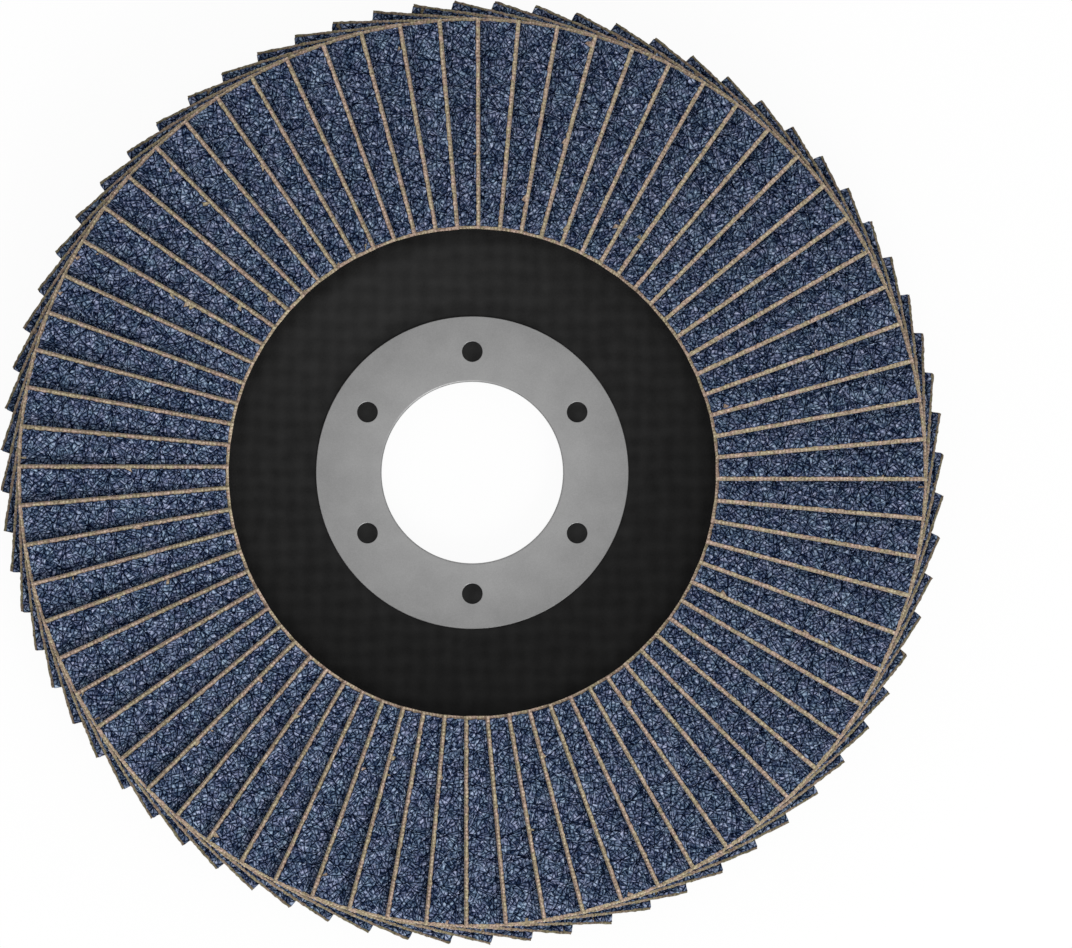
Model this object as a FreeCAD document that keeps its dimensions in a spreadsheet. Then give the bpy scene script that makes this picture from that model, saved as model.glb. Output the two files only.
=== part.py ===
# Flap disc for an angle grinder. Flaps of coated abrasive cloth stand like roof shingles in a
# bed of resin on the rim of a pressed backing plate, and a steel bush lines the plate's bore.
# Millimetres, +Z up, abrasive side up. The origin is on the bore's axis, at the hub's back.
import FreeCAD, Part
import math
import os
import Sketcher
from FreeCAD import Placement, Rotation, Vector

SIZES = {
    # The whole disc
    "disc_dia": 115.0,  # over the outer corners of the flaps
    "bore_dia": 22.23,
    # Flaps: flap_inner is the radius of the circle that their inner ends touch
    "flap_count": 72,
    "flap_inner": 29.45,
    "flap_width": 19.0,  # up the slope, from the root to the free edge
    "flap_lead": 1.0,  # how far the free edge lies in front of its radial line
    "cloth_thick": 0.9,  # cloth and grain together
    "flap_clearance": 0.02,  # between neighbours where they are closest
    "bare_margin": 0.4,  # strip along a cut edge where the grain thins out
    "grain_thick": 0.3,
    # Resin bed under the flaps
    "bed_inner_dia": 64.0,
    "bed_outer_dia": 103.0,
    "resin_under": 0.4,  # below the root of a flap
    "root_sink": 0.8,  # depth of a flap's root in the bed
    # Backing plate
    "plate_dia": 105.0,
    "hub_thick": 3.6,
    "rim_thick": 2.6,
    "centre_depth": 4.6,  # the hub's back is this far behind the rim's back
    "hub_flat_dia": 41.0,
    "rim_flat_dia": 56.0,
    "press_bevel": 1.0,  # breaks the edges where the plate bends
    "rim_bevel": 0.6,
    # Steel bush
    "ring_dia": 38.2,
    "steel_thick": 0.6,
    "ring_proud": 0.2,
    "mouth_bevel": 0.2,  # where the ring turns into the collar
    "lip_flare": 0.6,  # how far the rolled end leans out
    "lip_gap": 0.2,  # from the rolled end to the hub's back
    "key_count": 6,
    "key_dia": 2.5,
    "key_circle_dia": 29.6,
    "key_sink": 0.1,  # from the resin in a key hole to the ring's face
}
FLAPS_IN_A_NODE = 2
FLARE_ANGLE = 45

# Sizes that follow from the driving ones
DISC_R = "(sizes.disc_dia / 2)"
BORE_R = "(sizes.bore_dia / 2)"
COLLAR_R = f"({BORE_R} + sizes.steel_thick)"
RING_R = "(sizes.ring_dia / 2)"
SEAT_Z = "(sizes.hub_thick + sizes.ring_proud - sizes.steel_thick)"
FACE_Z = "(sizes.hub_thick + sizes.ring_proud)"
FLARE_Z = "(sizes.lip_gap + sizes.lip_flare)"
FLARE_STEP = f"(sizes.steel_thick * tan({FLARE_ANGLE} / 2))"
FLARE_END = f"(sizes.steel_thick * sin({FLARE_ANGLE}))"
RIM_TOP = "(sizes.centre_depth + sizes.rim_thick)"
PLATE_R = "(sizes.plate_dia / 2)"
HUB_R = "(sizes.hub_flat_dia / 2)"
RIM_R = "(sizes.rim_flat_dia / 2)"
PLATE_SLOPE = f"atan(({RIM_TOP} - sizes.hub_thick) / ({RIM_R} - {HUB_R}))"
BED_TOP = f"({RIM_TOP} + sizes.resin_under + sizes.root_sink)"
PITCH = "(360 / sizes.flap_count)"
# Two neighbours are closest at their inner ends, so that place sets the slope of them all
TILT = f"asin((sizes.cloth_thick + sizes.flap_clearance) / (sizes.flap_inner * sin({PITCH})))"
# The root's upper corner is the one that reaches the disc's full diameter
CORNER_V = (f"(sizes.flap_width * cos({TILT}) + sizes.cloth_thick * sin({TILT})"
            " - sizes.flap_lead)")
FLAP_OUTER = f"sqrt({DISC_R} ^ 2 - {CORNER_V} ^ 2)"
FREE_EDGE_Z = f"({RIM_TOP} + sizes.resin_under + sizes.flap_width * sin({TILT}))"

doc = FreeCAD.newDocument("flap_disc")
sheet = doc.addObject("Spreadsheet::Sheet", "sizes")
for row, (alias, number) in enumerate(SIZES.items(), start=1):
    sheet.set(f"A{row}", alias)
    sheet.set(f"B{row}", str(number))
    sheet.setAlias(f"B{row}", alias)
doc.recompute()
probe = doc.addObject("App::FeaturePython", "probe")


def value(expression):
    """Give the number that an expression on the sheet comes to."""
    result = probe.evalExpression(expression)
    return float(getattr(result, "Value", result))


def new_sketch(body, name, role, lift=None):
    """Put a sketch on one of the body's own planes, raised by lift."""
    sketch = body.newObject("Sketcher::SketchObject", name)
    plane = next(item for item in body.Origin.OriginFeatures if item.Role == role)
    sketch.AttachmentSupport = [(plane, "")]
    sketch.MapMode = "FlatFace"
    if lift:
        sketch.setExpression("AttachmentOffset.Base.z", lift)
    return sketch


def tie_point(sketch, item, end, place):
    """Hold one end of a line, or a centre, at the place that two expressions give."""
    # A sketch numbers its X axis -1 and its Y axis -2, and the origin is end 1 of the X axis
    kinds = (("DistanceX", -2), ("DistanceY", -1))
    for (kind, axis), expression in zip(kinds, place):
        if expression == "0":
            sketch.addConstraint(Sketcher.Constraint("PointOnObject", item, end, axis))
            continue
        rule = Sketcher.Constraint(kind, -1, 1, item, end, value(expression))
        sketch.setExpression(f"Constraints[{sketch.addConstraint(rule)}]", expression)


def outline(body, name, role, corners, lift=None):
    """Draw a closed outline whose corners are pairs of expressions."""
    sketch = new_sketch(body, name, role, lift)
    points = [Vector(value(across), value(up), 0) for across, up in corners]
    for start, end in zip(points, points[1:] + points[:1]):
        sketch.addGeometry(Part.LineSegment(start, end))
    # A line starts at its end 1 and stops at its end 2
    for side in range(len(points)):
        following = (side + 1) % len(points)
        sketch.addConstraint(Sketcher.Constraint("Coincident", side, 2, following, 1))
    for side, place in enumerate(corners):
        tie_point(sketch, side, 1, place)
    return sketch


def turned(body, name, corners):
    """Turn an outline of radius and height about the disc's axis."""
    profile = outline(body, f"{name}_profile", "XZ_Plane", corners)
    doc.recompute()
    shape = body.newObject("PartDesign::Revolution", f"{name}_turned")
    shape.Profile = profile
    shape.ReferenceAxis = (profile, ["V_Axis"])
    shape.Angle = 360
    doc.recompute()
    return shape


def key_circle(body, name, lift=None):
    """Draw the first of the key holes or of the resin keys that fill them."""
    sketch = new_sketch(body, name, "XY_Plane", lift)
    centre = Vector(value("sizes.key_circle_dia / 2"), 0, 0)
    circle = Part.Circle(centre, Vector(0, 0, 1), value("sizes.key_dia / 2"))
    sketch.addGeometry(circle)
    # A circle's centre is its end 3
    tie_point(sketch, 0, 3, ("sizes.key_circle_dia / 2", "0"))
    rule = sketch.addConstraint(Sketcher.Constraint("Diameter", 0, 2 * circle.Radius))
    sketch.setExpression(f"Constraints[{rule}]", "sizes.key_dia")
    # The ring of keys is turned by half a step, so that two of them lie on the Y axis
    sketch.setExpression("AttachmentOffset.Rotation.Angle", "180 / sizes.key_count")
    doc.recompute()
    return sketch


def ring_of_keys(body, feature):
    """Repeat a key or its hole round the disc's axis."""
    pattern = body.newObject("PartDesign::PolarPattern", f"{feature.Name}_ring")
    pattern.Originals = [feature]
    pattern.Axis = (feature.Profile[0], ["N_Axis"])
    pattern.Angle = 360
    pattern.setExpression("Occurrences", "sizes.key_count")
    body.Tip = pattern
    doc.recompute()
    return pattern


def bevelled(body, name, rings, size):
    """Bevel the circular edges that lie at the given radii and heights."""
    base = body.Tip
    wanted = [(value(ring), value(height)) for ring, height in rings]
    names = []
    for number, edge in enumerate(base.Shape.Edges, start=1):
        curve = edge.Curve
        if not isinstance(curve, Part.Circle) or abs(curve.Center.x) + abs(curve.Center.y) > 1e-6:
            continue
        if any(math.dist((curve.Radius, curve.Center.z), place) < 1e-6 for place in wanted):
            names.append(f"Edge{number}")
    if len(names) != len(rings):
        raise RuntimeError(f"{name} found {len(names)} edges of {len(rings)}")
    bevel = body.newObject("PartDesign::Chamfer", name)
    bevel.Base = (base, names)
    bevel.setExpression("Size", size)
    doc.recompute()
    return bevel


def make_steel_bush():
    """One stamping: a flat ring with key holes, a collar, and a rolled end behind the plate."""
    body = doc.addObject("PartDesign::Body", "steel_bush")
    turned(body, "bush", [
        (BORE_R, FLARE_Z),
        (f"{BORE_R} + sizes.lip_flare", "sizes.lip_gap"),
        (f"{BORE_R} + sizes.lip_flare + {FLARE_END}", f"sizes.lip_gap + {FLARE_END}"),
        (COLLAR_R, f"{FLARE_Z} + {FLARE_STEP}"),
        (COLLAR_R, SEAT_Z),
        (RING_R, SEAT_Z),
        (RING_R, FACE_Z),
        (BORE_R, FACE_Z),
    ])
    mouth = bevelled(body, "mouth", [(BORE_R, FACE_Z)], "sizes.mouth_bevel")
    hole = body.newObject("PartDesign::Pocket", "key_hole")
    hole.Profile = key_circle(body, "key_hole_place")
    hole.Type = "ThroughAll"
    hole.Reversed = True
    doc.recompute()
    if hole.Shape.Volume >= mouth.Shape.Volume:
        raise RuntimeError("the key hole misses the ring")
    ring_of_keys(body, hole)
    return body


def make_backing_plate():
    """One pressing of glass mesh and resin, dished so that the hub lies behind the rim."""
    body = doc.addObject("PartDesign::Body", "backing_plate")
    hub_back_r = f"{HUB_R} + sizes.hub_thick * tan({PLATE_SLOPE} / 2)"
    rim_back_r = f"{RIM_R} + sizes.rim_thick * tan({PLATE_SLOPE} / 2)"
    flare_top = f"({FLARE_Z} + {FLARE_STEP})"
    turned(body, "plate", [
        (f"{COLLAR_R} + {flare_top}", "0"),
        (hub_back_r, "0"),
        (rim_back_r, "sizes.centre_depth"),
        (PLATE_R, "sizes.centre_depth"),
        (PLATE_R, RIM_TOP),
        (RIM_R, RIM_TOP),
        (HUB_R, "sizes.hub_thick"),
        (RING_R, "sizes.hub_thick"),
        (RING_R, SEAT_Z),
        (COLLAR_R, SEAT_Z),
        (COLLAR_R, flare_top),
    ])
    bends = [
        (HUB_R, "sizes.hub_thick"),
        (RIM_R, RIM_TOP),
        (hub_back_r, "0"),
        (rim_back_r, "sizes.centre_depth"),
    ]
    bevelled(body, "pressed_bends", bends, "sizes.press_bevel")
    rim_edges = [(PLATE_R, "sizes.centre_depth"), (PLATE_R, RIM_TOP)]
    bevelled(body, "rim_edges", rim_edges, "sizes.rim_bevel")
    key = body.newObject("PartDesign::Pad", "key")
    key.Profile = key_circle(body, "key_place", SEAT_Z)
    key.setExpression("Length", "sizes.steel_thick - sizes.key_sink")
    doc.recompute()
    ring_of_keys(body, key)
    return body


def make_flap():
    """One flap, flat and convex, with the grain thinned out along its three open edges."""
    body = doc.addObject("PartDesign::Body", "flap")
    slab = body.newObject("PartDesign::Pad", "cloth")
    slab.Profile = outline(body, "cut_outline", "XY_Plane", [
        ("sizes.flap_inner", "0"),
        (FLAP_OUTER, "0"),
        (FLAP_OUTER, "sizes.flap_width"),
        ("sizes.flap_inner", "sizes.flap_width"),
    ])
    slab.setExpression("Length", "sizes.cloth_thick")
    doc.recompute()
    top = value("sizes.cloth_thick")
    root = value("sizes.flap_width")
    open_edges = []
    for number, edge in enumerate(slab.Shape.Edges, start=1):
        ends = [vertex.Point for vertex in edge.Vertexes]
        on_top = all(abs(point.z - top) < 1e-6 for point in ends)
        at_root = all(abs(point.y - root) < 1e-6 for point in ends)
        if on_top and not at_root:
            open_edges.append(f"Edge{number}")
    margin = body.newObject("PartDesign::Chamfer", "thin_margin")
    margin.Base = (slab, open_edges)
    margin.ChamferType = "Two distances"
    margin.setExpression("Size", "sizes.grain_thick")
    margin.setExpression("Size2", "sizes.bare_margin")
    doc.recompute()
    body.Placement = Placement(Vector(0, 0, 0), Rotation(Vector(-1, 0, 0), value(TILT)))
    body.setExpression("Placement.Rotation.Angle", TILT)
    body.setExpression("Placement.Base.y", "-sizes.flap_lead")
    body.setExpression("Placement.Base.z", FREE_EDGE_Z)
    return body


def make_flap_groups(flap):
    """The flap repeated round the disc, a few neighbours to a group."""
    count = int(value("sizes.flap_count"))
    groups = []
    for first in range(0, count, FLAPS_IN_A_NODE):
        numbers = range(first, min(first + FLAPS_IN_A_NODE, count))
        copies = []
        for number in numbers:
            copy = doc.addObject("App::Link", f"flap_{number + 1:02d}")
            copy.LinkedObject = flap
            copy.LinkTransform = True
            copy.setExpression("Placement.Rotation.Angle", f"{number} * {PITCH}")
            copies.append(copy)
        group = doc.addObject("Part::Compound", f"flaps_{first + 1:02d}_{numbers[-1] + 1:02d}")
        group.Links = copies
        groups.append(group)
    doc.recompute()
    return groups


def make_adhesive_bed():
    """A low bead of resin on the rim, with a slanting seat for the root of each flap."""
    body = doc.addObject("PartDesign::Body", "adhesive_bed")
    inner = "sizes.bed_inner_dia / 2"
    outer = "sizes.bed_outer_dia / 2"
    bead = turned(body, "bead", [(inner, RIM_TOP), (outer, RIM_TOP), (outer, BED_TOP), (inner, BED_TOP)])
    low = (f"sizes.flap_width * cos({TILT}) - sizes.flap_lead", f"{RIM_TOP} + sizes.resin_under")
    thick = (f"sizes.cloth_thick * sin({TILT})", f"sizes.cloth_thick * cos({TILT})")
    rise = (f"sizes.flap_width * cos({TILT}) / 2", f"sizes.flap_width * sin({TILT}) / 2")
    section = [
        low,
        (f"{low[0]} + {thick[0]}", f"{low[1]} + {thick[1]}"),
        (f"{low[0]} + {thick[0]} - {rise[0]}", f"{low[1]} + {thick[1]} + {rise[1]}"),
        (f"{low[0]} - {rise[0]}", f"{low[1]} + {rise[1]}"),
    ]
    seat = body.newObject("PartDesign::Pocket", "root_seat")
    seat.Profile = outline(body, "root_section", "YZ_Plane", section, "sizes.flap_inner")
    seat.setExpression("Length", "sizes.disc_dia / 2")
    seat.Reversed = True
    doc.recompute()
    if seat.Shape.Volume >= bead.Shape.Volume:
        raise RuntimeError("the seat misses the bead")
    seats = body.newObject("PartDesign::PolarPattern", "root_seats")
    seats.Originals = [seat]
    seats.Axis = (bead.Profile[0], ["V_Axis"])
    seats.Angle = 360
    seats.setExpression("Occurrences", "sizes.flap_count")
    body.Tip = seats
    doc.recompute()
    return body


def check(pieces):
    """Stop if any object failed, or if a piece isn't the sound solids that it should be."""
    for item in doc.Objects:
        if "Invalid" in item.State or "Error" in item.State:
            raise RuntimeError(f"{item.Name} failed: {item.State}")
    for piece, solids in pieces:
        shape = piece.Shape
        if shape.isNull() or not shape.isValid() or len(shape.Solids) != solids:
            raise RuntimeError(f"{piece.Label} isn't {solids} sound solids")


bush = make_steel_bush()
plate = make_backing_plate()
flap_groups = make_flap_groups(make_flap())
bed = make_adhesive_bed()
pieces = [(piece, 1) for piece in (bush, plate, bed)]
pieces += [(group, len(group.Links)) for group in flap_groups]
check(pieces)
os.makedirs("parts", exist_ok=True)
for piece, _ in pieces:
    piece.Shape.exportStep(f"parts/{piece.Label}.step")
    print(f"{piece.Label}: {piece.Shape.Volume:.1f} mm3")
print(f"tilt {value(TILT):.2f} degrees, flap length {value(FLAP_OUTER) - value('sizes.flap_inner'):.2f}")
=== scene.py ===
# Looks of the flap disc: flaps of coated cloth, a steel bush, a backing plate and its resin bed.
# Metres, +Z up, abrasive side up, and the origin on the bore's axis at the hub's back.
import math
import random
import bmesh
import bpy
from mathutils import Matrix, Vector


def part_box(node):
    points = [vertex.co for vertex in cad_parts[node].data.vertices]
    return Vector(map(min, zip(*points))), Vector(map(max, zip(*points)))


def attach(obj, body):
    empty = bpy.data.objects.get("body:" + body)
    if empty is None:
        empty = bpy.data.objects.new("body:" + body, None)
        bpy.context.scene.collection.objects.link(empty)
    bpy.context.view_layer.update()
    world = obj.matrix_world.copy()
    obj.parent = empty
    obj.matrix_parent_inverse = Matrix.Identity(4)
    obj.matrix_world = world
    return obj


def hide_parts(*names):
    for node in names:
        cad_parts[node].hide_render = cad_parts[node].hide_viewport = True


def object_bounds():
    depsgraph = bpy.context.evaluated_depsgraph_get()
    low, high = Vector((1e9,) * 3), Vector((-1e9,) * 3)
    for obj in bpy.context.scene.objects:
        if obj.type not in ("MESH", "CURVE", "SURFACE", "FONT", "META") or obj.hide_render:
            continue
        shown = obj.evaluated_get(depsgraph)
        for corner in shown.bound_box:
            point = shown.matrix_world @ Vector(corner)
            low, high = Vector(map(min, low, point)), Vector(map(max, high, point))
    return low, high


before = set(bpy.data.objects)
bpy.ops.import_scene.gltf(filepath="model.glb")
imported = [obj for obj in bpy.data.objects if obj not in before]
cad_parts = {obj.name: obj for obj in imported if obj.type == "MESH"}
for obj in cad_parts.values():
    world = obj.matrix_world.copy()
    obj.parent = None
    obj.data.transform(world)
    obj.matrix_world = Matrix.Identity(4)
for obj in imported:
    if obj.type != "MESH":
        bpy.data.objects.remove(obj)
cad_low, cad_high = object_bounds()

MM = 0.001
TURN = 2 * math.pi

# The photo's frame in pixels, the disc's place in it, and the scale at the roots of the flaps.
# The free edges lie higher and look larger, and that sets the camera's height above the roots.
PHOTO_WIDE = 1072
PHOTO_HIGH = 948
DISC_ACROSS = 472.3
DISC_DOWN = 472.6
PIXELS_PER_METRE = 8200
SCALE_LEVEL = 6 * MM
CAMERA_HEIGHT = 0.92
SENSOR_WIDTH = 36.0

# Studio
FLOOR_SIZE = 6.0
FLOOR_DROP = 0.02 * MM
FLOOR_GLOW = 0.94
SKY_STRENGTH = 0.77
SOFTBOX_SIZE = 0.3
SOFTBOX_PLACE = (0.18, -0.4, 0.36)
SOFTBOX_POWER = 1.5

# Flaps, of the frame's length and in its places. Two neighbours are closest at their inner
# ends, so that place sets the slope of them all.
FLAP_COUNT = 72
FLAPS_IN_A_NODE = 2
PITCH = TURN / FLAP_COUNT
FLAP_INNER = 29.45 * MM
FLAP_WIDTH = 19.0 * MM
FLAP_LEAD = 1.0 * MM
CLOTH_THICK = 0.6 * MM
GRAIN_THICK = 0.3 * MM
FLAP_CLEARANCE = 0.02 * MM
TILT = math.asin((CLOTH_THICK + GRAIN_THICK + FLAP_CLEARANCE) / (FLAP_INNER * math.sin(PITCH)))
first_low, first_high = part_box("flaps_01_02")
FLAP_LENGTH = first_high.x - FLAP_INNER
FREE_EDGE_Z = first_low.z + FLAP_WIDTH * math.sin(TILT)

# Grain: cells as wide as a grain of the coarse grit, with valleys between them. Sets of lines
# part the cells, each set turned from the next and each line turned a little by itself.
CELL = 0.4 * MM
LARGEST_CELL = 1.9 * CELL ** 2
SMALLEST_CELL = 0.25 * CELL ** 2
SPLITTING_ROUNDS = 3
LINE_SETS = 5
LINE_GAP = 2.75 * CELL
LINE_DRIFT = 0.5
LINE_TURN = math.radians(10)
BARE_EDGE = 0.22 * MM
BARE_INNER = 0.28 * MM
BARE_OUTER = (0.29 * MM, 0.24 * MM)
EDGE_ROLL = 0.1 * MM
COAT_SLOPE = 0.06 * MM
GRAIN_FLOOR = 0.05 * MM
BED_LEVEL = CLOTH_THICK + GRAIN_FLOOR
UNDER_BED = CLOTH_THICK + 0.9 * GRAIN_FLOOR
VALLEY = 0.065 * MM
COVERED = 0.4 * MM
CELL_DRIFT = 0.24 * CELL
MISSING_NEAR_EDGE = 0.012
GRAIN_RISE = (0.08 * MM, 0.2 * MM)
GRAIN_LEAN = 0.045 * MM
GRAIN_PEAK = (0.01 * MM, 0.07 * MM)
PEAK_DRIFT = 0.2
# Level of the painted shade at a grain's rim, between its valley at 0 and its peak at 1
RIM_SHADE_LEVEL = 0.6
# Share of each facet's tint that is painted light and shade at random
FACET_LIGHT_SHARE = 0.5
FRAY = 0.06 * MM
FLAP_SLIDE = (-0.05 * MM, 0.07 * MM)
FLAP_SWING = math.radians(0.15)

# The sides of a flap, as its cloth is laid out flat, and the way that each of them faces
TOP, BACK, FREE_END, ROOT_END, INNER_END, OUTER_END = range(6)
FACING = {
    (0, 0, 1): TOP,
    (0, 0, -1): BACK,
    (0, -1, 0): FREE_END,
    (0, 1, 0): ROOT_END,
    (-1, 0, 0): INNER_END,
    (1, 0, 0): OUTER_END,
}
GRAIN_SLOT, CLOTH_SLOT = range(2)
NET_SIZE = 42 * MM
NET_MARGIN = 1.5 * MM
# Where the cloth's darkening towards the root begins and where it is full
ROOT_DARK_START = 0.3 * FLAP_WIDTH
ROOT_DARK_END = 0.85 * FLAP_WIDTH
THREAD_PITCH = 0.45 * MM

# Bush and backing plate, of the frame's reach and in its places
bush_low, bush_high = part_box("steel_bush")
plate_low, plate_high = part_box("backing_plate")
STEEL_THICK = 0.6 * MM
RING_RADIUS = bush_high.x
RING_TOP = bush_high.z
SEAT = RING_TOP - STEEL_THICK
BORE_RADIUS = 22.23 / 2 * MM
COLLAR_RADIUS = BORE_RADIUS + STEEL_THICK
MOUTH_BEND = 0.2 * MM
LIP_FLARE = 0.6 * MM
LIP_END = STEEL_THICK * math.sqrt(0.5)
LIP_TOP = bush_low.z + STEEL_THICK * math.sqrt(2)
RING_STRIP = 0.3 * MM
EDGE_BREAK = 0.05 * MM
KEY_COUNT = 6
KEY_RADIUS = 1.25 * MM
KEY_CIRCLE = 14.8 * MM
KEY_SINK = 0.1 * MM
KEY_CROWN = 0.03 * MM
KEY_SHOULDER = 0.2 * KEY_RADIUS
HUB_THICK = 3.6 * MM
RIM_THICK = 2.6 * MM
HUB_FLAT = 20.5 * MM
RIM_FLAT = 28.0 * MM
PLATE_RADIUS = plate_high.x
PLATE_BACK = plate_low.z
RIM_TOP = plate_high.z
RIM_BACK = RIM_TOP - RIM_THICK
PLATE_SLOPE = math.atan((RIM_TOP - HUB_THICK) / (RIM_FLAT - HUB_FLAT))
PRESS_BEND = 5.0 * MM
RIM_BEND = 0.6 * MM
GLASS_PITCH = 2.0 * MM
ROUND_STEPS = 180
SIDE_STEPS = 8
BEND_STEPS = 6
SHARP = math.radians(20)
WELD = 0.001 * MM

# A wave texture has about this many bands to a unit at a scale of 1
BANDS_IN_A_UNIT = 3.2


def display(red, green, blue):
    """Give a colour that renders as these levels out of 255."""
    levels = [level / 255 for level in (red, green, blue)]
    linear = [((c + 0.055) / 1.055) ** 2.4 if c > 0.04045 else c / 12.92 for c in levels]
    return (*linear, 1.0)


def new_material(name, roughness, metallic=0.0, specular=0.5):
    """Give a material and its main shader, with the values that are the same all over."""
    material = bpy.data.materials.new(name)
    material.use_nodes = True
    shader = material.node_tree.nodes["Principled BSDF"]
    shader.inputs["Roughness"].default_value = roughness
    shader.inputs["Metallic"].default_value = metallic
    shader.inputs["Specular IOR Level"].default_value = specular
    return material, material.node_tree, shader


def add_node(tree, kind, settings=(), inputs=()):
    """Add a node, with its settings and its sockets' values or links."""
    node = tree.nodes.new(kind)
    for name, setting in dict(settings).items():
        setattr(node, name, setting)
    for name, given in dict(inputs).items():
        socket = node.inputs[name]
        if isinstance(given, bpy.types.NodeSocket):
            tree.links.new(given, socket)
        else:
            socket.default_value = given
    return node


def ramp(tree, factor, stops):
    """Turn a factor into colours, each stop a place and a colour."""
    node = add_node(tree, "ShaderNodeValToRGB", inputs={"Fac": factor})
    elements = node.color_ramp.elements
    while len(elements) < len(stops):
        elements.new(0.5)
    for element, (place, colour) in zip(elements, stops):
        element.position = place
        element.color = colour
    return node.outputs["Color"]


def noise(tree, place, scale, detail=2.0):
    """Give a cloudy pattern, with about as many clouds to a metre as its scale says."""
    inputs = {"Vector": place, "Scale": scale, "Detail": detail}
    return add_node(tree, "ShaderNodeTexNoise", inputs=inputs).outputs["Fac"]


def sum_of(tree, shares, start=0.0):
    """Add up patterns, each times its share, from a starting value."""
    total = None
    for pattern, share in shares:
        offset = start if total is None else total
        inputs = {0: pattern, 1: share, 2: offset}
        total = add_node(tree, "ShaderNodeMath", {"operation": "MULTIPLY_ADD"}, inputs).outputs[0]
    return total


def crossed_bands(tree, place, bands, distortion):
    """Give two patterns of bands that cross, each with that many bands to a unit."""
    patterns = []
    for direction in ("X", "Y"):
        inputs = {"Vector": place, "Scale": bands / BANDS_IN_A_UNIT, "Distortion": distortion}
        settings = {"wave_type": "BANDS", "bands_direction": direction}
        patterns.append(add_node(tree, "ShaderNodeTexWave", settings, inputs).outputs["Fac"])
    return patterns


def bump(tree, height, distance):
    """Give the normal of a relief of that depth."""
    inputs = {"Height": height, "Distance": distance}
    return add_node(tree, "ShaderNodeBump", inputs=inputs).outputs["Normal"]


def object_place(tree):
    """Give the place of each point on its piece."""
    return add_node(tree, "ShaderNodeTexCoord").outputs["Object"]


def product(tree, first, second):
    """Multiply two patterns."""
    return add_node(tree, "ShaderNodeMath", {"operation": "MULTIPLY"}, {0: first, 1: second}).outputs[0]


def tinted(tree, colour, tint):
    """Multiply a colour by a tint."""
    # Inputs 6 and 7 and output 2 of this node are its colours
    node = add_node(tree, "ShaderNodeMix", {"data_type": "RGBA", "blend_type": "MULTIPLY"})
    node.inputs[0].default_value = 1.0
    tree.links.new(colour, node.inputs[6])
    tree.links.new(tint, node.inputs[7])
    return node.outputs[2]


def grain_material():
    """Dark blue abrasive grain, each grain with its own tint, painted light and shade at random on its
    facets, and painted shade that darkens it down into the dark resin of the valleys.
    """
    material, tree, shader = new_material("abrasive_grain", roughness=0.7, specular=0.05)
    place = object_place(tree)
    tint = add_node(tree, "ShaderNodeAttribute", {"attribute_name": "tint"}).outputs["Fac"]
    height = add_node(tree, "ShaderNodeAttribute", {"attribute_name": "height"}).outputs["Fac"]
    fine = noise(tree, place, 3300)
    # Painted shade: each grain's colour darkens from its peak down into the valleys, over the dark
    # resin there
    raised = product(tree, tint, height)
    value = sum_of(tree, [(raised, 1.0), (height, 0.15), (fine, 1.2)], start=-0.57)
    stops = [
        (0.0, display(2, 8, 30)),
        (0.25, display(21, 36, 64)),
        (0.5, display(78, 92, 119)),
        (0.75, display(124, 137, 163)),
        (1.0, display(178, 191, 216)),
    ]
    patches = noise(tree, place, 800)
    cast = ramp(tree, patches, [(0.35, (0.91, 1.02, 0.98, 1)), (0.65, (1.07, 0.98, 1.02, 1))])
    colour = tinted(tree, ramp(tree, value, stops), cast)
    tree.links.new(colour, shader.inputs["Base Color"])
    tree.links.new(bump(tree, fine, 0.04 * MM), shader.inputs["Normal"])
    return material


def cloth_material():
    """Tan woven backing of twisted threads, darker towards the root."""
    material, tree, shader = new_material("flap_cloth", roughness=0.85, specular=0.15)
    net = add_node(tree, "ShaderNodeUVMap", {"uv_map": "OFBake"}).outputs["UV"]
    place = object_place(tree)
    weave = product(tree, *crossed_bands(tree, net, NET_SIZE / THREAD_PITCH, distortion=3.0))
    fluff = noise(tree, place, 3800, detail=3.0)
    value = sum_of(tree, [(weave, 0.35), (fluff, 1.6)], start=-0.43)
    stops = [
        (0.0, display(96, 80, 66)),
        (0.5, display(164, 149, 132)),
        (1.0, display(216, 202, 184)),
    ]
    patches = noise(tree, place, 900, detail=1.0)
    cast = ramp(tree, patches, [(0.38, (0.98, 1.02, 0.86, 1)), (0.62, (1.08, 0.97, 1.0, 1))])
    across = add_node(tree, "ShaderNodeSeparateXYZ", inputs={"Vector": net}).outputs["Y"]
    limits = {
        "Value": across,
        "From Min": (NET_MARGIN + ROOT_DARK_START) / NET_SIZE,
        "From Max": (NET_MARGIN + ROOT_DARK_END) / NET_SIZE,
    }
    rise = add_node(tree, "ShaderNodeMapRange", inputs=limits).outputs["Result"]
    # The net holds the flap's top up to here, and its back from here on
    back = (1.6 * NET_MARGIN + FLAP_WIDTH) / NET_SIZE
    rule = {"operation": "LESS_THAN"}
    front = add_node(tree, "ShaderNodeMath", rule, {0: across, 1: back}).outputs[0]
    # The top of the cloth is darker towards the root
    root_dark = ramp(tree, product(tree, rise, front), [(0.0, (1, 1, 1, 1)), (1.0, (0.42, 0.44, 0.4, 1))])
    colour = tinted(tree, tinted(tree, ramp(tree, value, stops), cast), root_dark)
    tree.links.new(colour, shader.inputs["Base Color"])
    tree.links.new(bump(tree, value, 0.05 * MM), shader.inputs["Normal"])
    return material


def laminate_material():
    """Black resin over glass mesh, whose weave shows faintly."""
    material, tree, shader = new_material("backing_laminate", roughness=0.6, specular=0.12)
    place = object_place(tree)
    warp, weft = crossed_bands(tree, place, 1 / GLASS_PITCH, distortion=2.5)
    clouds = noise(tree, place, 500, detail=4.0)
    speck = noise(tree, place, 5000)
    value = sum_of(tree, [(warp, 0.11), (weft, 0.11), (clouds, 0.5), (speck, 0.28)])
    stops = [(0.25, display(13, 13, 13)), (0.75, display(36, 36, 36))]
    colour = ramp(tree, value, stops)
    tree.links.new(colour, shader.inputs["Base Color"])
    tree.links.new(bump(tree, value, 0.06 * MM), shader.inputs["Normal"])
    return material


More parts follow.
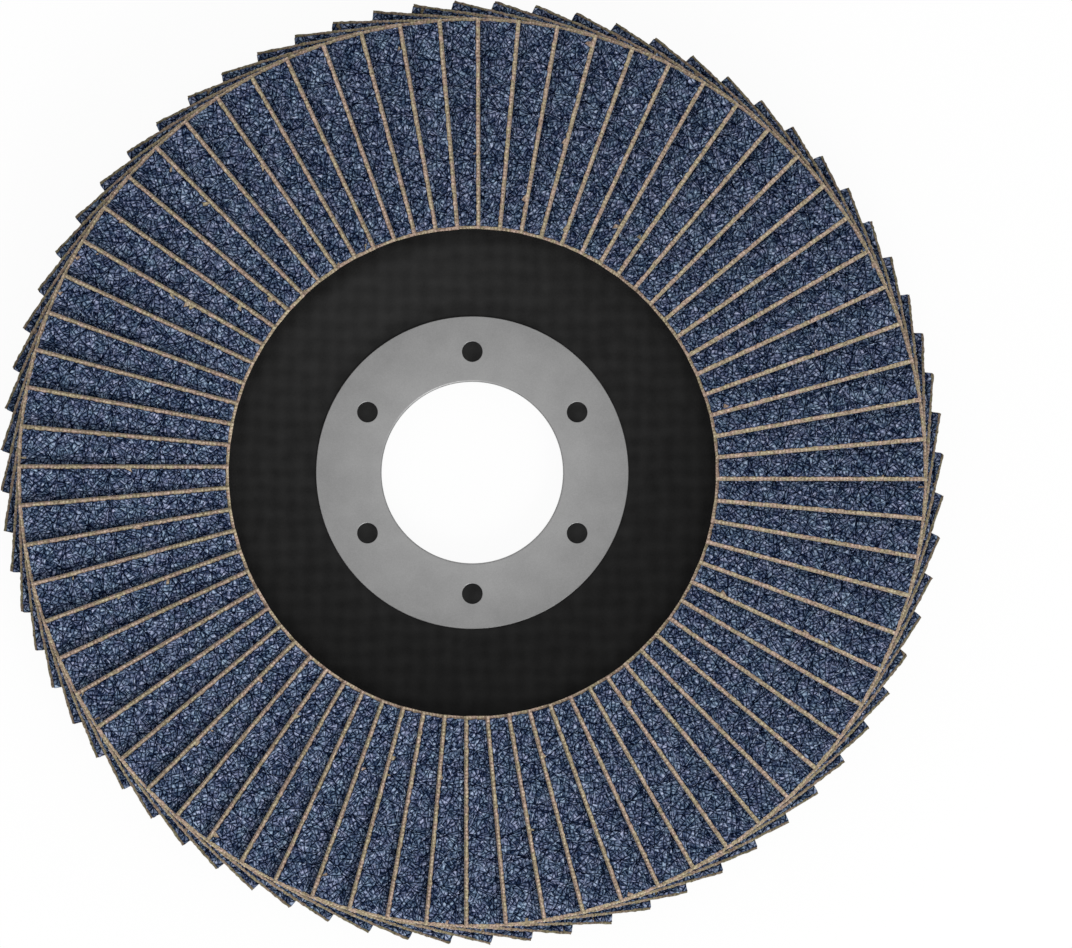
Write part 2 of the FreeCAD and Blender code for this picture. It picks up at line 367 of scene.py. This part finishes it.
def steel_material():
    """Plain stamped steel with a satin skin, and a painted sheen that makes it a little brighter
    towards the bore.
    """
    material, tree, shader = new_material("bush_steel", roughness=0.42, metallic=1.0)
    place = object_place(tree)
    clouds = noise(tree, place, 260, detail=4.0)
    fine = noise(tree, place, 7000)
    inputs = {0: place, 1: (1, 1, 0)}
    level = add_node(tree, "ShaderNodeVectorMath", {"operation": "MULTIPLY"}, inputs).outputs[0]
    radius = add_node(tree, "ShaderNodeVectorMath", {"operation": "LENGTH"}, {0: level}).outputs[1]
    # Painted sheen: the colour darkens towards the ring's outer edge and is brightest at the bore
    limits = {"Value": radius, "From Min": BORE_RADIUS, "From Max": RING_RADIUS}
    painted_sheen_fade = add_node(tree, "ShaderNodeMapRange", inputs=limits).outputs["Result"]
    value = sum_of(tree, [(clouds, 0.6), (fine, 0.5), (painted_sheen_fade, -0.3)], start=0.1)
    stops = [(0.2, display(133, 133, 133)), (0.8, display(155, 155, 155))]
    tree.links.new(ramp(tree, value, stops), shader.inputs["Base Color"])
    limits = {"Value": value, "To Min": 0.38, "To Max": 0.48}
    rough = add_node(tree, "ShaderNodeMapRange", inputs=limits).outputs["Result"]
    tree.links.new(rough, shader.inputs["Roughness"])
    tree.links.new(bump(tree, fine, 0.004 * MM), shader.inputs["Normal"])
    return material


def resin_material():
    """Dark amber resin that set with small waves."""
    material, tree, shader = new_material("bed_resin", roughness=0.3)
    place = object_place(tree)
    waves = noise(tree, place, 420, detail=3.0)
    stops = [(0.3, display(46, 34, 26)), (0.7, display(74, 56, 40))]
    tree.links.new(ramp(tree, waves, stops), shader.inputs["Base Color"])
    tree.links.new(bump(tree, waves, 0.2 * MM), shader.inputs["Normal"])
    return material


def seen_by_eye(tree):
    """Give 1 for what the camera sees, by itself or through shine or glass."""
    path = add_node(tree, "ShaderNodeLightPath").outputs
    kinds = [path["Is Camera Ray"], path["Is Glossy Ray"], path["Is Transmission Ray"]]
    total = kinds[0]
    for kind in kinds[1:]:
        node = add_node(tree, "ShaderNodeMath", {"operation": "MAXIMUM"}, {0: total, 1: kind})
        total = node.outputs[0]
    return total


def add_camera():
    """Look straight down at the disc's middle, with the disc where the photo has it."""
    data = bpy.data.cameras.new("camera")
    data.sensor_width = SENSOR_WIDTH
    data.lens = SENSOR_WIDTH * CAMERA_HEIGHT * PIXELS_PER_METRE / PHOTO_WIDE
    data.shift_x = (PHOTO_WIDE / 2 - DISC_ACROSS) / PHOTO_WIDE
    data.shift_y = (DISC_DOWN - PHOTO_HIGH / 2) / PHOTO_WIDE
    camera = bpy.data.objects.new("camera", data)
    camera.location = (0, 0, SCALE_LEVEL + CAMERA_HEIGHT)
    bpy.context.scene.collection.objects.link(camera)
    bpy.context.scene.camera = camera


def add_lights():
    """A pale sky, and one softbox in front of the disc."""
    world = bpy.data.worlds.new("sky")
    world.use_nodes = True
    bpy.context.scene.world = world
    tree = world.node_tree
    backdrop = tree.nodes["Background"]
    backdrop.inputs["Color"].default_value = (1.0, 1.0, 1.0, 1.0)
    inputs = {"Value": seen_by_eye(tree), "To Min": SKY_STRENGTH, "To Max": 1.0}
    strength = add_node(tree, "ShaderNodeMapRange", inputs=inputs).outputs["Result"]
    tree.links.new(strength, backdrop.inputs["Strength"])
    data = bpy.data.lights.new("softbox", "AREA")
    data.size = SOFTBOX_SIZE
    data.energy = SOFTBOX_POWER
    softbox = bpy.data.objects.new("softbox", data)
    softbox.location = SOFTBOX_PLACE
    aim = Vector(SOFTBOX_PLACE).to_track_quat("Z", "Y")
    softbox.rotation_mode = "QUATERNION"
    softbox.rotation_quaternion = aim
    bpy.context.scene.collection.objects.link(softbox)


def add_floor():
    """A white table that keeps a faint shadow of the disc."""
    material, tree, shader = new_material("floor_white", roughness=0.9, specular=0.1)
    shader.inputs["Base Color"].default_value = (0.95, 0.95, 0.95, 1.0)
    glow = add_node(tree, "ShaderNodeEmission", inputs={"Strength": 1.0})
    share = add_node(
        tree, "ShaderNodeMath", {"operation": "MULTIPLY"}, {0: seen_by_eye(tree), 1: FLOOR_GLOW}
    )
    mix = add_node(tree, "ShaderNodeMixShader", inputs={"Fac": share.outputs[0]})
    tree.links.new(shader.outputs["BSDF"], mix.inputs[1])
    tree.links.new(glow.outputs["Emission"], mix.inputs[2])
    tree.links.new(mix.outputs["Shader"], tree.nodes["Material Output"].inputs["Surface"])
    mesh = bmesh.new()
    bmesh.ops.create_grid(mesh, x_segments=1, y_segments=1, size=FLOOR_SIZE / 2)
    bmesh.ops.translate(mesh, verts=mesh.verts, vec=(0, 0, cad_low.z - FLOOR_DROP))
    floor = finished(mesh, "floor", [material])


def finished(mesh, name, materials, smooth=None):
    """Make an object of a mesh, smooth where its faces meet at less than an angle."""
    data = bpy.data.meshes.new(name)
    mesh.to_mesh(data)
    mesh.free()
    for material in materials:
        data.materials.append(material)
    if smooth is not None:
        data.shade_smooth()
        data.set_sharp_from_angle(angle=smooth)
    piece = bpy.data.objects.new(name, data)
    bpy.context.scene.collection.objects.link(piece)
    return piece


def rounded(corners):
    """Give an outline's points. A corner is a radius, a height and the radius of its bend."""
    places = [Vector((radius, 0, height)) for radius, height, bend in corners]
    bends = [bend for radius, height, bend in corners]
    points = []
    for number, (place, bend) in enumerate(zip(places, bends)):
        if not bend:
            points.append(place)
            continue
        before = (places[number - 1] - place).normalized()
        after = (places[number + 1] - place).normalized()
        half = before.angle(after) / 2
        centre = place + (before + after).normalized() * bend / math.sin(half)
        start = place + before * bend / math.tan(half) - centre
        end = place + after * bend / math.tan(half) - centre
        for step in range(BEND_STEPS + 1):
            turn = Matrix.Rotation(start.angle(end) * step / BEND_STEPS, 4, start.cross(end))
            points.append(centre + turn @ start)
    return points


def lathe(mesh, corners):
    """Turn an outline about the bore's axis."""
    verts = [mesh.verts.new(point) for point in rounded(corners)]
    edges = [mesh.edges.new(pair) for pair in zip(verts, verts[1:])]
    bmesh.ops.spin(mesh, geom=verts + edges, axis=(0, 0, 1), angle=TURN, steps=ROUND_STEPS,
                   use_merge=True)


def holed_ring(mesh, inner, outer, level):
    """Lay a flat ring with a round hole in the middle of each of its sectors. The mesh starts
    empty. Return the edges of the holes."""
    sector = TURN / KEY_COUNT
    ends = [mesh.verts.new((radius, 0, level)) for radius in (inner, outer)]
    side = mesh.edges.new(ends)
    bmesh.ops.subdivide_edges(mesh, edges=[side], cuts=SIDE_STEPS - 1)
    steps_in_sector = ROUND_STEPS // KEY_COUNT
    bmesh.ops.spin(mesh, geom=mesh.verts[:] + mesh.edges[:], axis=(0, 0, 1), angle=sector,
                   steps=steps_in_sector)
    bmesh.ops.delete(mesh, geom=mesh.faces[:], context="FACES_KEEP_BOUNDARY")
    rim = mesh.edges[:]
    middle = Matrix.Rotation(sector / 2, 4, "Z") @ Matrix.Translation((KEY_CIRCLE, 0, level))
    bmesh.ops.create_circle(mesh, segments=len(rim), radius=KEY_RADIUS, matrix=middle)
    bmesh.ops.bridge_loops(mesh, edges=mesh.edges[:])
    whole = mesh.verts[:] + mesh.edges[:] + mesh.faces[:]
    bmesh.ops.spin(mesh, geom=whole, axis=(0, 0, 1), angle=TURN - sector, steps=KEY_COUNT - 1,
                   use_duplicate=True)
    bmesh.ops.remove_doubles(mesh, verts=mesh.verts, dist=WELD)
    return [
        edge for edge in mesh.edges
        if edge.is_boundary and abs(edge.verts[0].co.xy.length - KEY_CIRCLE) < 1.5 * KEY_RADIUS
    ]


def drawn_out(mesh, edges, rise):
    """Draw edges up or down into walls, and return the edges at the walls' far ends."""
    made = bmesh.ops.extrude_edge_only(mesh, edges=edges)["geom"]
    verts = [item for item in made if isinstance(item, bmesh.types.BMVert)]
    bmesh.ops.translate(mesh, verts=verts, vec=(0, 0, rise))
    return [item for item in made if isinstance(item, bmesh.types.BMEdge)]


def welded(mesh):
    """Join what meets, and turn the faces outwards."""
    bmesh.ops.remove_doubles(mesh, verts=mesh.verts, dist=WELD)
    bmesh.ops.recalc_face_normals(mesh, faces=mesh.faces)


def add_bush():
    """The steel stamping: flat ring with key holes, collar, and rolled end behind the plate."""
    mesh = bmesh.new()
    strip = COLLAR_RADIUS + RING_STRIP
    holes = holed_ring(mesh, strip, RING_RADIUS, RING_TOP)
    whole = mesh.verts[:] + mesh.edges[:] + mesh.faces[:]
    under = bmesh.ops.duplicate(mesh, geom=whole)["geom"]
    under_verts = [item for item in under if isinstance(item, bmesh.types.BMVert)]
    bmesh.ops.translate(mesh, verts=under_verts, vec=(0, 0, -STEEL_THICK))
    drawn_out(mesh, holes, -STEEL_THICK)
    lathe(mesh, [(RING_RADIUS, RING_TOP, 0), (RING_RADIUS, SEAT, 0)])
    lathe(mesh, [
        (strip, RING_TOP, 0),
        (BORE_RADIUS + 1.5 * MOUTH_BEND, RING_TOP, 0),
        (BORE_RADIUS, RING_TOP, MOUTH_BEND),
        (BORE_RADIUS, bush_low.z + LIP_FLARE, 0),
        (BORE_RADIUS + LIP_FLARE, bush_low.z, 0),
        (BORE_RADIUS + LIP_FLARE + LIP_END, bush_low.z + LIP_END, 0),
        (COLLAR_RADIUS, LIP_TOP, 0),
        (COLLAR_RADIUS, SEAT, 0),
        (strip, SEAT, 0),
    ])
    welded(mesh)
    sharp = [edge for edge in mesh.edges if edge.calc_face_angle(0) > SHARP]
    bmesh.ops.bevel(mesh, geom=sharp, offset=EDGE_BREAK, offset_type="OFFSET", segments=2,
                    profile=0.5, affect="EDGES", material=-1)
    piece = finished(mesh, "stamped_bush", [steel_material()], SHARP)
    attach(piece, "root")
    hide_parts("steel_bush")


def add_plate():
    """The pressed laminate: hub, dished web, rim, and the resin keys that fill the ring's holes."""
    mesh = bmesh.new()
    holes = holed_ring(mesh, COLLAR_RADIUS, RING_RADIUS, SEAT)
    tops = drawn_out(mesh, holes, STEEL_THICK - KEY_SINK)
    caps = bmesh.ops.holes_fill(mesh, edges=tops, sides=len(holes))["faces"]
    bmesh.ops.inset_individual(mesh, faces=caps, thickness=KEY_SHOULDER, depth=KEY_CROWN)
    lean = math.tan(PLATE_SLOPE / 2)
    lathe(mesh, [
        (RING_RADIUS, SEAT, 0),
        (RING_RADIUS, HUB_THICK, 0),
        (HUB_FLAT, HUB_THICK, PRESS_BEND),
        (RIM_FLAT, RIM_TOP, PRESS_BEND),
        (PLATE_RADIUS, RIM_TOP, RIM_BEND),
        (PLATE_RADIUS, RIM_BACK, RIM_BEND),
        (RIM_FLAT + RIM_THICK * lean, RIM_BACK, PRESS_BEND),
        (HUB_FLAT + HUB_THICK * lean, PLATE_BACK, PRESS_BEND),
        (COLLAR_RADIUS + LIP_TOP, PLATE_BACK, 0),
        (COLLAR_RADIUS, LIP_TOP, 0),
        (COLLAR_RADIUS, SEAT, 0),
    ])
    welded(mesh)
    piece = finished(mesh, "pressed_plate", [laminate_material()], SHARP)
    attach(piece, "root")
    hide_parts("backing_plate")


def on_the_net(side, place):
    """Where a point of the flat flap lies when its sides are folded out."""
    along, across, up = place
    down = CLOTH_THICK - up
    spots = {
        TOP: (along, across),
        BACK: (along, FLAP_WIDTH + NET_MARGIN + across),
        FREE_END: (along, -down),
        ROOT_END: (along, FLAP_WIDTH + down),
        INNER_END: (-down, across),
        OUTER_END: (FLAP_LENGTH + down, across),
    }
    return [(spot + NET_MARGIN) / NET_SIZE for spot in spots[side]]


def cut(mesh, faces, place, direction):
    """Cut faces along a plane."""
    parts = set(faces)
    for face in faces:
        parts.update(face.edges)
        parts.update(face.verts)
    bmesh.ops.bisect_plane(mesh, geom=list(parts), plane_co=place, plane_no=direction)


def steps(start, end, length):
    """Give evenly spaced places from start to end, about a length apart."""
    count = max(1, round((end - start) / length))
    return [start + (end - start) * number / count for number in range(count + 1)]


def cover_lines():
    """Give the two planes where the next flap begins to cover this one, each a point and a
    direction that points to the covered side."""
    turned = [
        (
            along * math.cos(PITCH) + FLAP_LEAD * math.sin(PITCH),
            along * math.sin(PITCH) - FLAP_LEAD * math.cos(PITCH),
        )
        for along in (FLAP_INNER, FLAP_INNER + FLAP_LENGTH)
    ]
    (in_along, in_across), (out_along, out_across) = turned
    slope = (out_across - in_across) / (out_along - in_along) / math.cos(TILT)
    strip_place = Vector((0, (in_across + FLAP_LEAD) / math.cos(TILT) + COVERED, 0))
    strip_place.y -= slope * (in_along - FLAP_INNER)
    strip_side = Vector((-slope, 1, 0))
    end_slope = math.tan(PITCH) * math.cos(TILT)
    end_along = out_along - FLAP_INNER - COVERED
    end_place = Vector((end_along, (out_across + FLAP_LEAD) / math.cos(TILT), 0))
    end_side = Vector((-1, -end_slope, 0))
    return (strip_place, strip_side), (end_place, end_side)


def outer_strip(across):
    """Give the width of the bare strip at the outer end, which is widest at the free edge."""
    start, end = BARE_OUTER
    return start + (end - start) * across / FLAP_WIDTH


def cut_flap():
    """A flat flap with a raised bed for its grain. The bed runs on to the root's cut edge, and
    leaves a bare strip along the other three."""
    blank = bmesh.new()
    side = blank.faces.layers.int.new("side")
    net = blank.loops.layers.uv.new("OFBake")
    # How high a point sits on its grain, from valley to peak; it sets the painted shade
    blank.verts.layers.float.new("height")
    blank.faces.layers.float.new("tint")
    bmesh.ops.create_cube(blank, size=1.0)
    bmesh.ops.translate(blank, verts=blank.verts, vec=(0.5, 0.5, 0.5))
    uncut = FLAP_WIDTH + BARE_EDGE + COAT_SLOPE
    bmesh.ops.scale(blank, verts=blank.verts, vec=(FLAP_LENGTH, uncut, CLOTH_THICK))
    blank.normal_update()
    for face in blank.faces:
        face[side] = FACING[tuple(round(part) for part in face.normal)]
        face.material_index = CLOTH_SLOT
    top = [face for face in blank.faces if face[side] == TOP]
    for thickness, depth in ((BARE_EDGE, 0), (COAT_SLOPE, GRAIN_FLOOR)):
        bmesh.ops.inset_region(blank, faces=top, thickness=thickness, depth=depth,
                               use_boundary=True, use_even_offset=True, use_interpolate=True)
    for face in top:
        face.material_index = GRAIN_SLOT
    for vert in blank.verts:
        along, across, up = vert.co
        if up < 0.5 * CLOTH_THICK:
            continue
        if min(along, FLAP_LENGTH - along, across, uncut - across) < 0.5 * BARE_EDGE:
            vert.co.z -= EDGE_ROLL
        elif along < 0.5 * FLAP_LENGTH:
            vert.co.x += BARE_INNER - BARE_EDGE
        else:
            vert.co.x -= outer_strip(across) - BARE_EDGE
    # The bare strip at the root is cut off again
    whole = blank.verts[:] + blank.edges[:] + blank.faces[:]
    bmesh.ops.bisect_plane(blank, geom=whole, plane_co=(0, FLAP_WIDTH, 0), plane_no=(0, 1, 0),
                           clear_outer=True)
    opened = [edge for edge in blank.edges if edge.is_boundary]
    for face in bmesh.ops.holes_fill(blank, edges=opened, sides=len(opened))["faces"]:
        face[side] = ROOT_END
        face.material_index = CLOTH_SLOT
    for face in blank.faces:
        for loop in face.loops:
            loop[net].uv = on_the_net(face[side], loop.vert.co)
    return blank


def picked(blank, sides, rule):
    """Give the faces on some sides of a flap whose middles keep to a rule."""
    side = blank.faces.layers.int["side"]
    return [
        face for face in blank.faces
        if face[side] in sides and rule(face.calc_center_median())
    ]


def cut_rims(blank):
    """Cut the strips along the free edge and the outer end across, so that they can fray."""
    for along in steps(0, FLAP_LENGTH, CELL)[1:-1]:
        rim = picked(blank, [TOP, FREE_END], lambda middle: middle.z < UNDER_BED and middle.y < CELL)
        cut(blank, rim, (along, 0, 0), (1, 0, 0))
    start = FLAP_LENGTH - CELL
    for across in steps(0, FLAP_WIDTH, CELL)[1:-1]:
        rim = picked(blank, [TOP, OUTER_END], lambda middle: middle.z < UNDER_BED and middle.x > start)
        cut(blank, rim, (0, across, 0), (0, 1, 0))


def cut_cells(blank, shown):
    """Cut the bed along sets of lines where it is shown, and cut the cells that stay large."""
    chance = random.Random(FLAP_COUNT)
    centre = Vector((FLAP_LENGTH / 2, FLAP_WIDTH / 2, 0))
    reach = math.hypot(*centre.xy)
    for number in range(LINE_SETS):
        turn = Matrix.Rotation((number + 0.5) * math.pi / LINE_SETS, 4, "Z")
        for away in steps(-reach, reach, LINE_GAP):
            away += chance.uniform(-LINE_DRIFT, LINE_DRIFT) * LINE_GAP
            spot = centre + turn @ Vector((away, 0, 0))
            own_turn = Matrix.Rotation(chance.uniform(-LINE_TURN, LINE_TURN), 4, "Z")
            way = own_turn @ turn @ Vector((1, 0, 0))
            cut(blank, picked(blank, [TOP], shown), spot, way)
    for _ in range(SPLITTING_ROUNDS):
        for face in picked(blank, [TOP], shown):
            if face.calc_area() > LARGEST_CELL:
                longest = max(face.edges, key=lambda edge: edge.calc_length())
                middle = face.calc_center_median()
                cut(blank, [face], middle, longest.verts[1].co - longest.verts[0].co)


def flap_blank():
    """A flat flap whose bed is cut into cells where its grain shows, and is raised in one piece
    where the next flap covers it."""
    blank = cut_flap()
    (strip_place, strip_side), (end_place, end_side) = cover_lines()

    def in_strip(middle):
        return (middle - strip_place).xy.dot(strip_side.xy) < 0

    def in_end(middle):
        return not in_strip(middle) and (middle - end_place).xy.dot(end_side.xy) < 0

    def is_covered(middle):
        return not in_strip(middle) and not in_end(middle)

    def is_shown(middle):
        return middle.z > UNDER_BED and not is_covered(middle)

    cut(blank, picked(blank, [TOP], lambda middle: True), strip_place, strip_side)
    cut(blank, picked(blank, [TOP], lambda middle: not in_strip(middle)), end_place, end_side)
    cut_rims(blank)
    cut_cells(blank, is_shown)
    covered = [
        face for face in picked(blank, [TOP], is_covered)
        if face.material_index == GRAIN_SLOT
    ]
    bmesh.ops.inset_region(blank, faces=covered, thickness=VALLEY, depth=GRAIN_THICK - GRAIN_FLOOR,
                           use_boundary=True, use_even_offset=True, use_interpolate=True)
    return blank


def cells_of(flap):
    """Give the cells of a flap's bed that have a grain's size."""
    side = flap.faces.layers.int["side"]
    return [
        face for face in flap.faces
        if face.material_index == GRAIN_SLOT and face[side] == TOP
        and SMALLEST_CELL < face.calc_area() < 2 * LARGEST_CELL
        and face.calc_center_median().z < CLOTH_THICK + 1.5 * GRAIN_FLOOR
    ]


def inside(place):
    """How far a point of a flap is from the nearest bare strip."""
    end = FLAP_LENGTH - outer_strip(place.y)
    return min(place.x - BARE_INNER, end - place.x, place.y - BARE_EDGE)


def loosen(flap, chance):
    """Shift the points of the bed and of the bare strips a little, so that no line is straight."""
    for vert in flap.verts:
        if abs(vert.co.z - BED_LEVEL) < 0.5 * GRAIN_FLOOR:
            near_root = FLAP_WIDTH - vert.co.y < 0.5 * CELL
            far_in = inside(vert.co) > COAT_SLOPE + 0.5 * CELL and not near_root
            reach = CELL_DRIFT if far_in else FRAY
            vert.co.x += chance.uniform(-reach, reach)
            vert.co.y += chance.uniform(-reach, reach)
        elif CLOTH_THICK - 1.5 * EDGE_ROLL < vert.co.z < CLOTH_THICK + 0.5 * GRAIN_FLOOR:
            vert.co.x += chance.uniform(-FRAY, FRAY)
            vert.co.y += chance.uniform(-FRAY, FRAY)
            vert.co.z += chance.uniform(-FRAY, FRAY)


def grow_grain(flap, chance):
    """Turn the cells of a flap into grains that differ in outline, height, lean and tint. A few
    near the edges are missing and show the cloth."""
    height = flap.verts.layers.float["height"]
    tint = flap.faces.layers.float["tint"]
    cells = cells_of(flap)
    for cell in cells:
        near_edge = inside(cell.calc_center_median()) < COAT_SLOPE + CELL
        if near_edge and chance.random() < MISSING_NEAR_EDGE:
            cell.material_index = CLOTH_SLOT
    cells = [cell for cell in cells if cell.material_index == GRAIN_SLOT]
    bmesh.ops.inset_individual(flap, faces=cells, thickness=VALLEY, depth=0, use_even_offset=False,
                               use_interpolate=True)
    for cell in cells:
        rise = chance.uniform(*GRAIN_RISE)
        shade = chance.random()
        cell[tint] = shade
        for vert in cell.verts:
            vert.co.z += rise + chance.uniform(-GRAIN_LEAN, GRAIN_LEAN)
            # Painted shade: the rim gets a darker level than the peak
            vert[height] = RIM_SHADE_LEVEL
        for face in {near for edge in cell.edges for near in edge.link_faces}:
            face[tint] = shade
    poked = bmesh.ops.poke(flap, faces=cells, offset=0, center_mode="MEAN", use_relative_offset=False)
    # Painted light and shade: each facet's tint moves at random away from its grain's own tint
    for face in poked["faces"]:
        face[tint] += FACET_LIGHT_SHARE * (chance.random() - face[tint])
    for vert in poked["verts"]:
        vert.co.x += chance.uniform(-PEAK_DRIFT, PEAK_DRIFT) * CELL
        vert.co.y += chance.uniform(-PEAK_DRIFT, PEAK_DRIFT) * CELL
        vert.co.z += chance.uniform(*GRAIN_PEAK)
        vert[height] = 1.0


def add_flaps():
    """All the flaps, each grown from the same blank and laid a little out of true."""
    materials = [grain_material(), cloth_material()]
    blank = flap_blank()
    laid = Matrix.Translation((FLAP_INNER, -FLAP_LEAD, FREE_EDGE_Z)) @ Matrix.Rotation(-TILT, 4, "X")
    middle = Matrix.Translation((FLAP_LENGTH / 2, FLAP_WIDTH / 2, 0))
    for number in range(FLAP_COUNT):
        flap = blank.copy()
        chance = random.Random(number)
        loosen(flap, chance)
        grow_grain(flap, chance)
        slide = Matrix.Translation((0, chance.uniform(*FLAP_SLIDE), 0))
        swing = Matrix.Rotation(chance.uniform(-FLAP_SWING, FLAP_SWING), 4, "Z")
        turn = Matrix.Rotation(number * PITCH, 4, "Z")
        place = turn @ laid @ slide @ middle @ swing @ middle.inverted()
        bmesh.ops.transform(flap, matrix=place, verts=flap.verts)
        piece = finished(flap, f"flap_{number + 1:02d}", materials)
        first = number - number % FLAPS_IN_A_NODE + 1
        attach(piece, "root")
        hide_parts(f"flaps_{first:02d}_{first + FLAPS_IN_A_NODE - 1:02d}")
    blank.free()


def dress_bed():
    """The frame's own bed of resin, with its real finish."""
    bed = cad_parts["adhesive_bed"]
    bed.data.materials.clear()
    bed.data.materials.append(resin_material())


add_camera()
add_lights()
add_floor()
add_bush()
add_plate()
add_flaps()
dress_bed()
bpy.context.scene.view_settings.view_transform = "Standard"
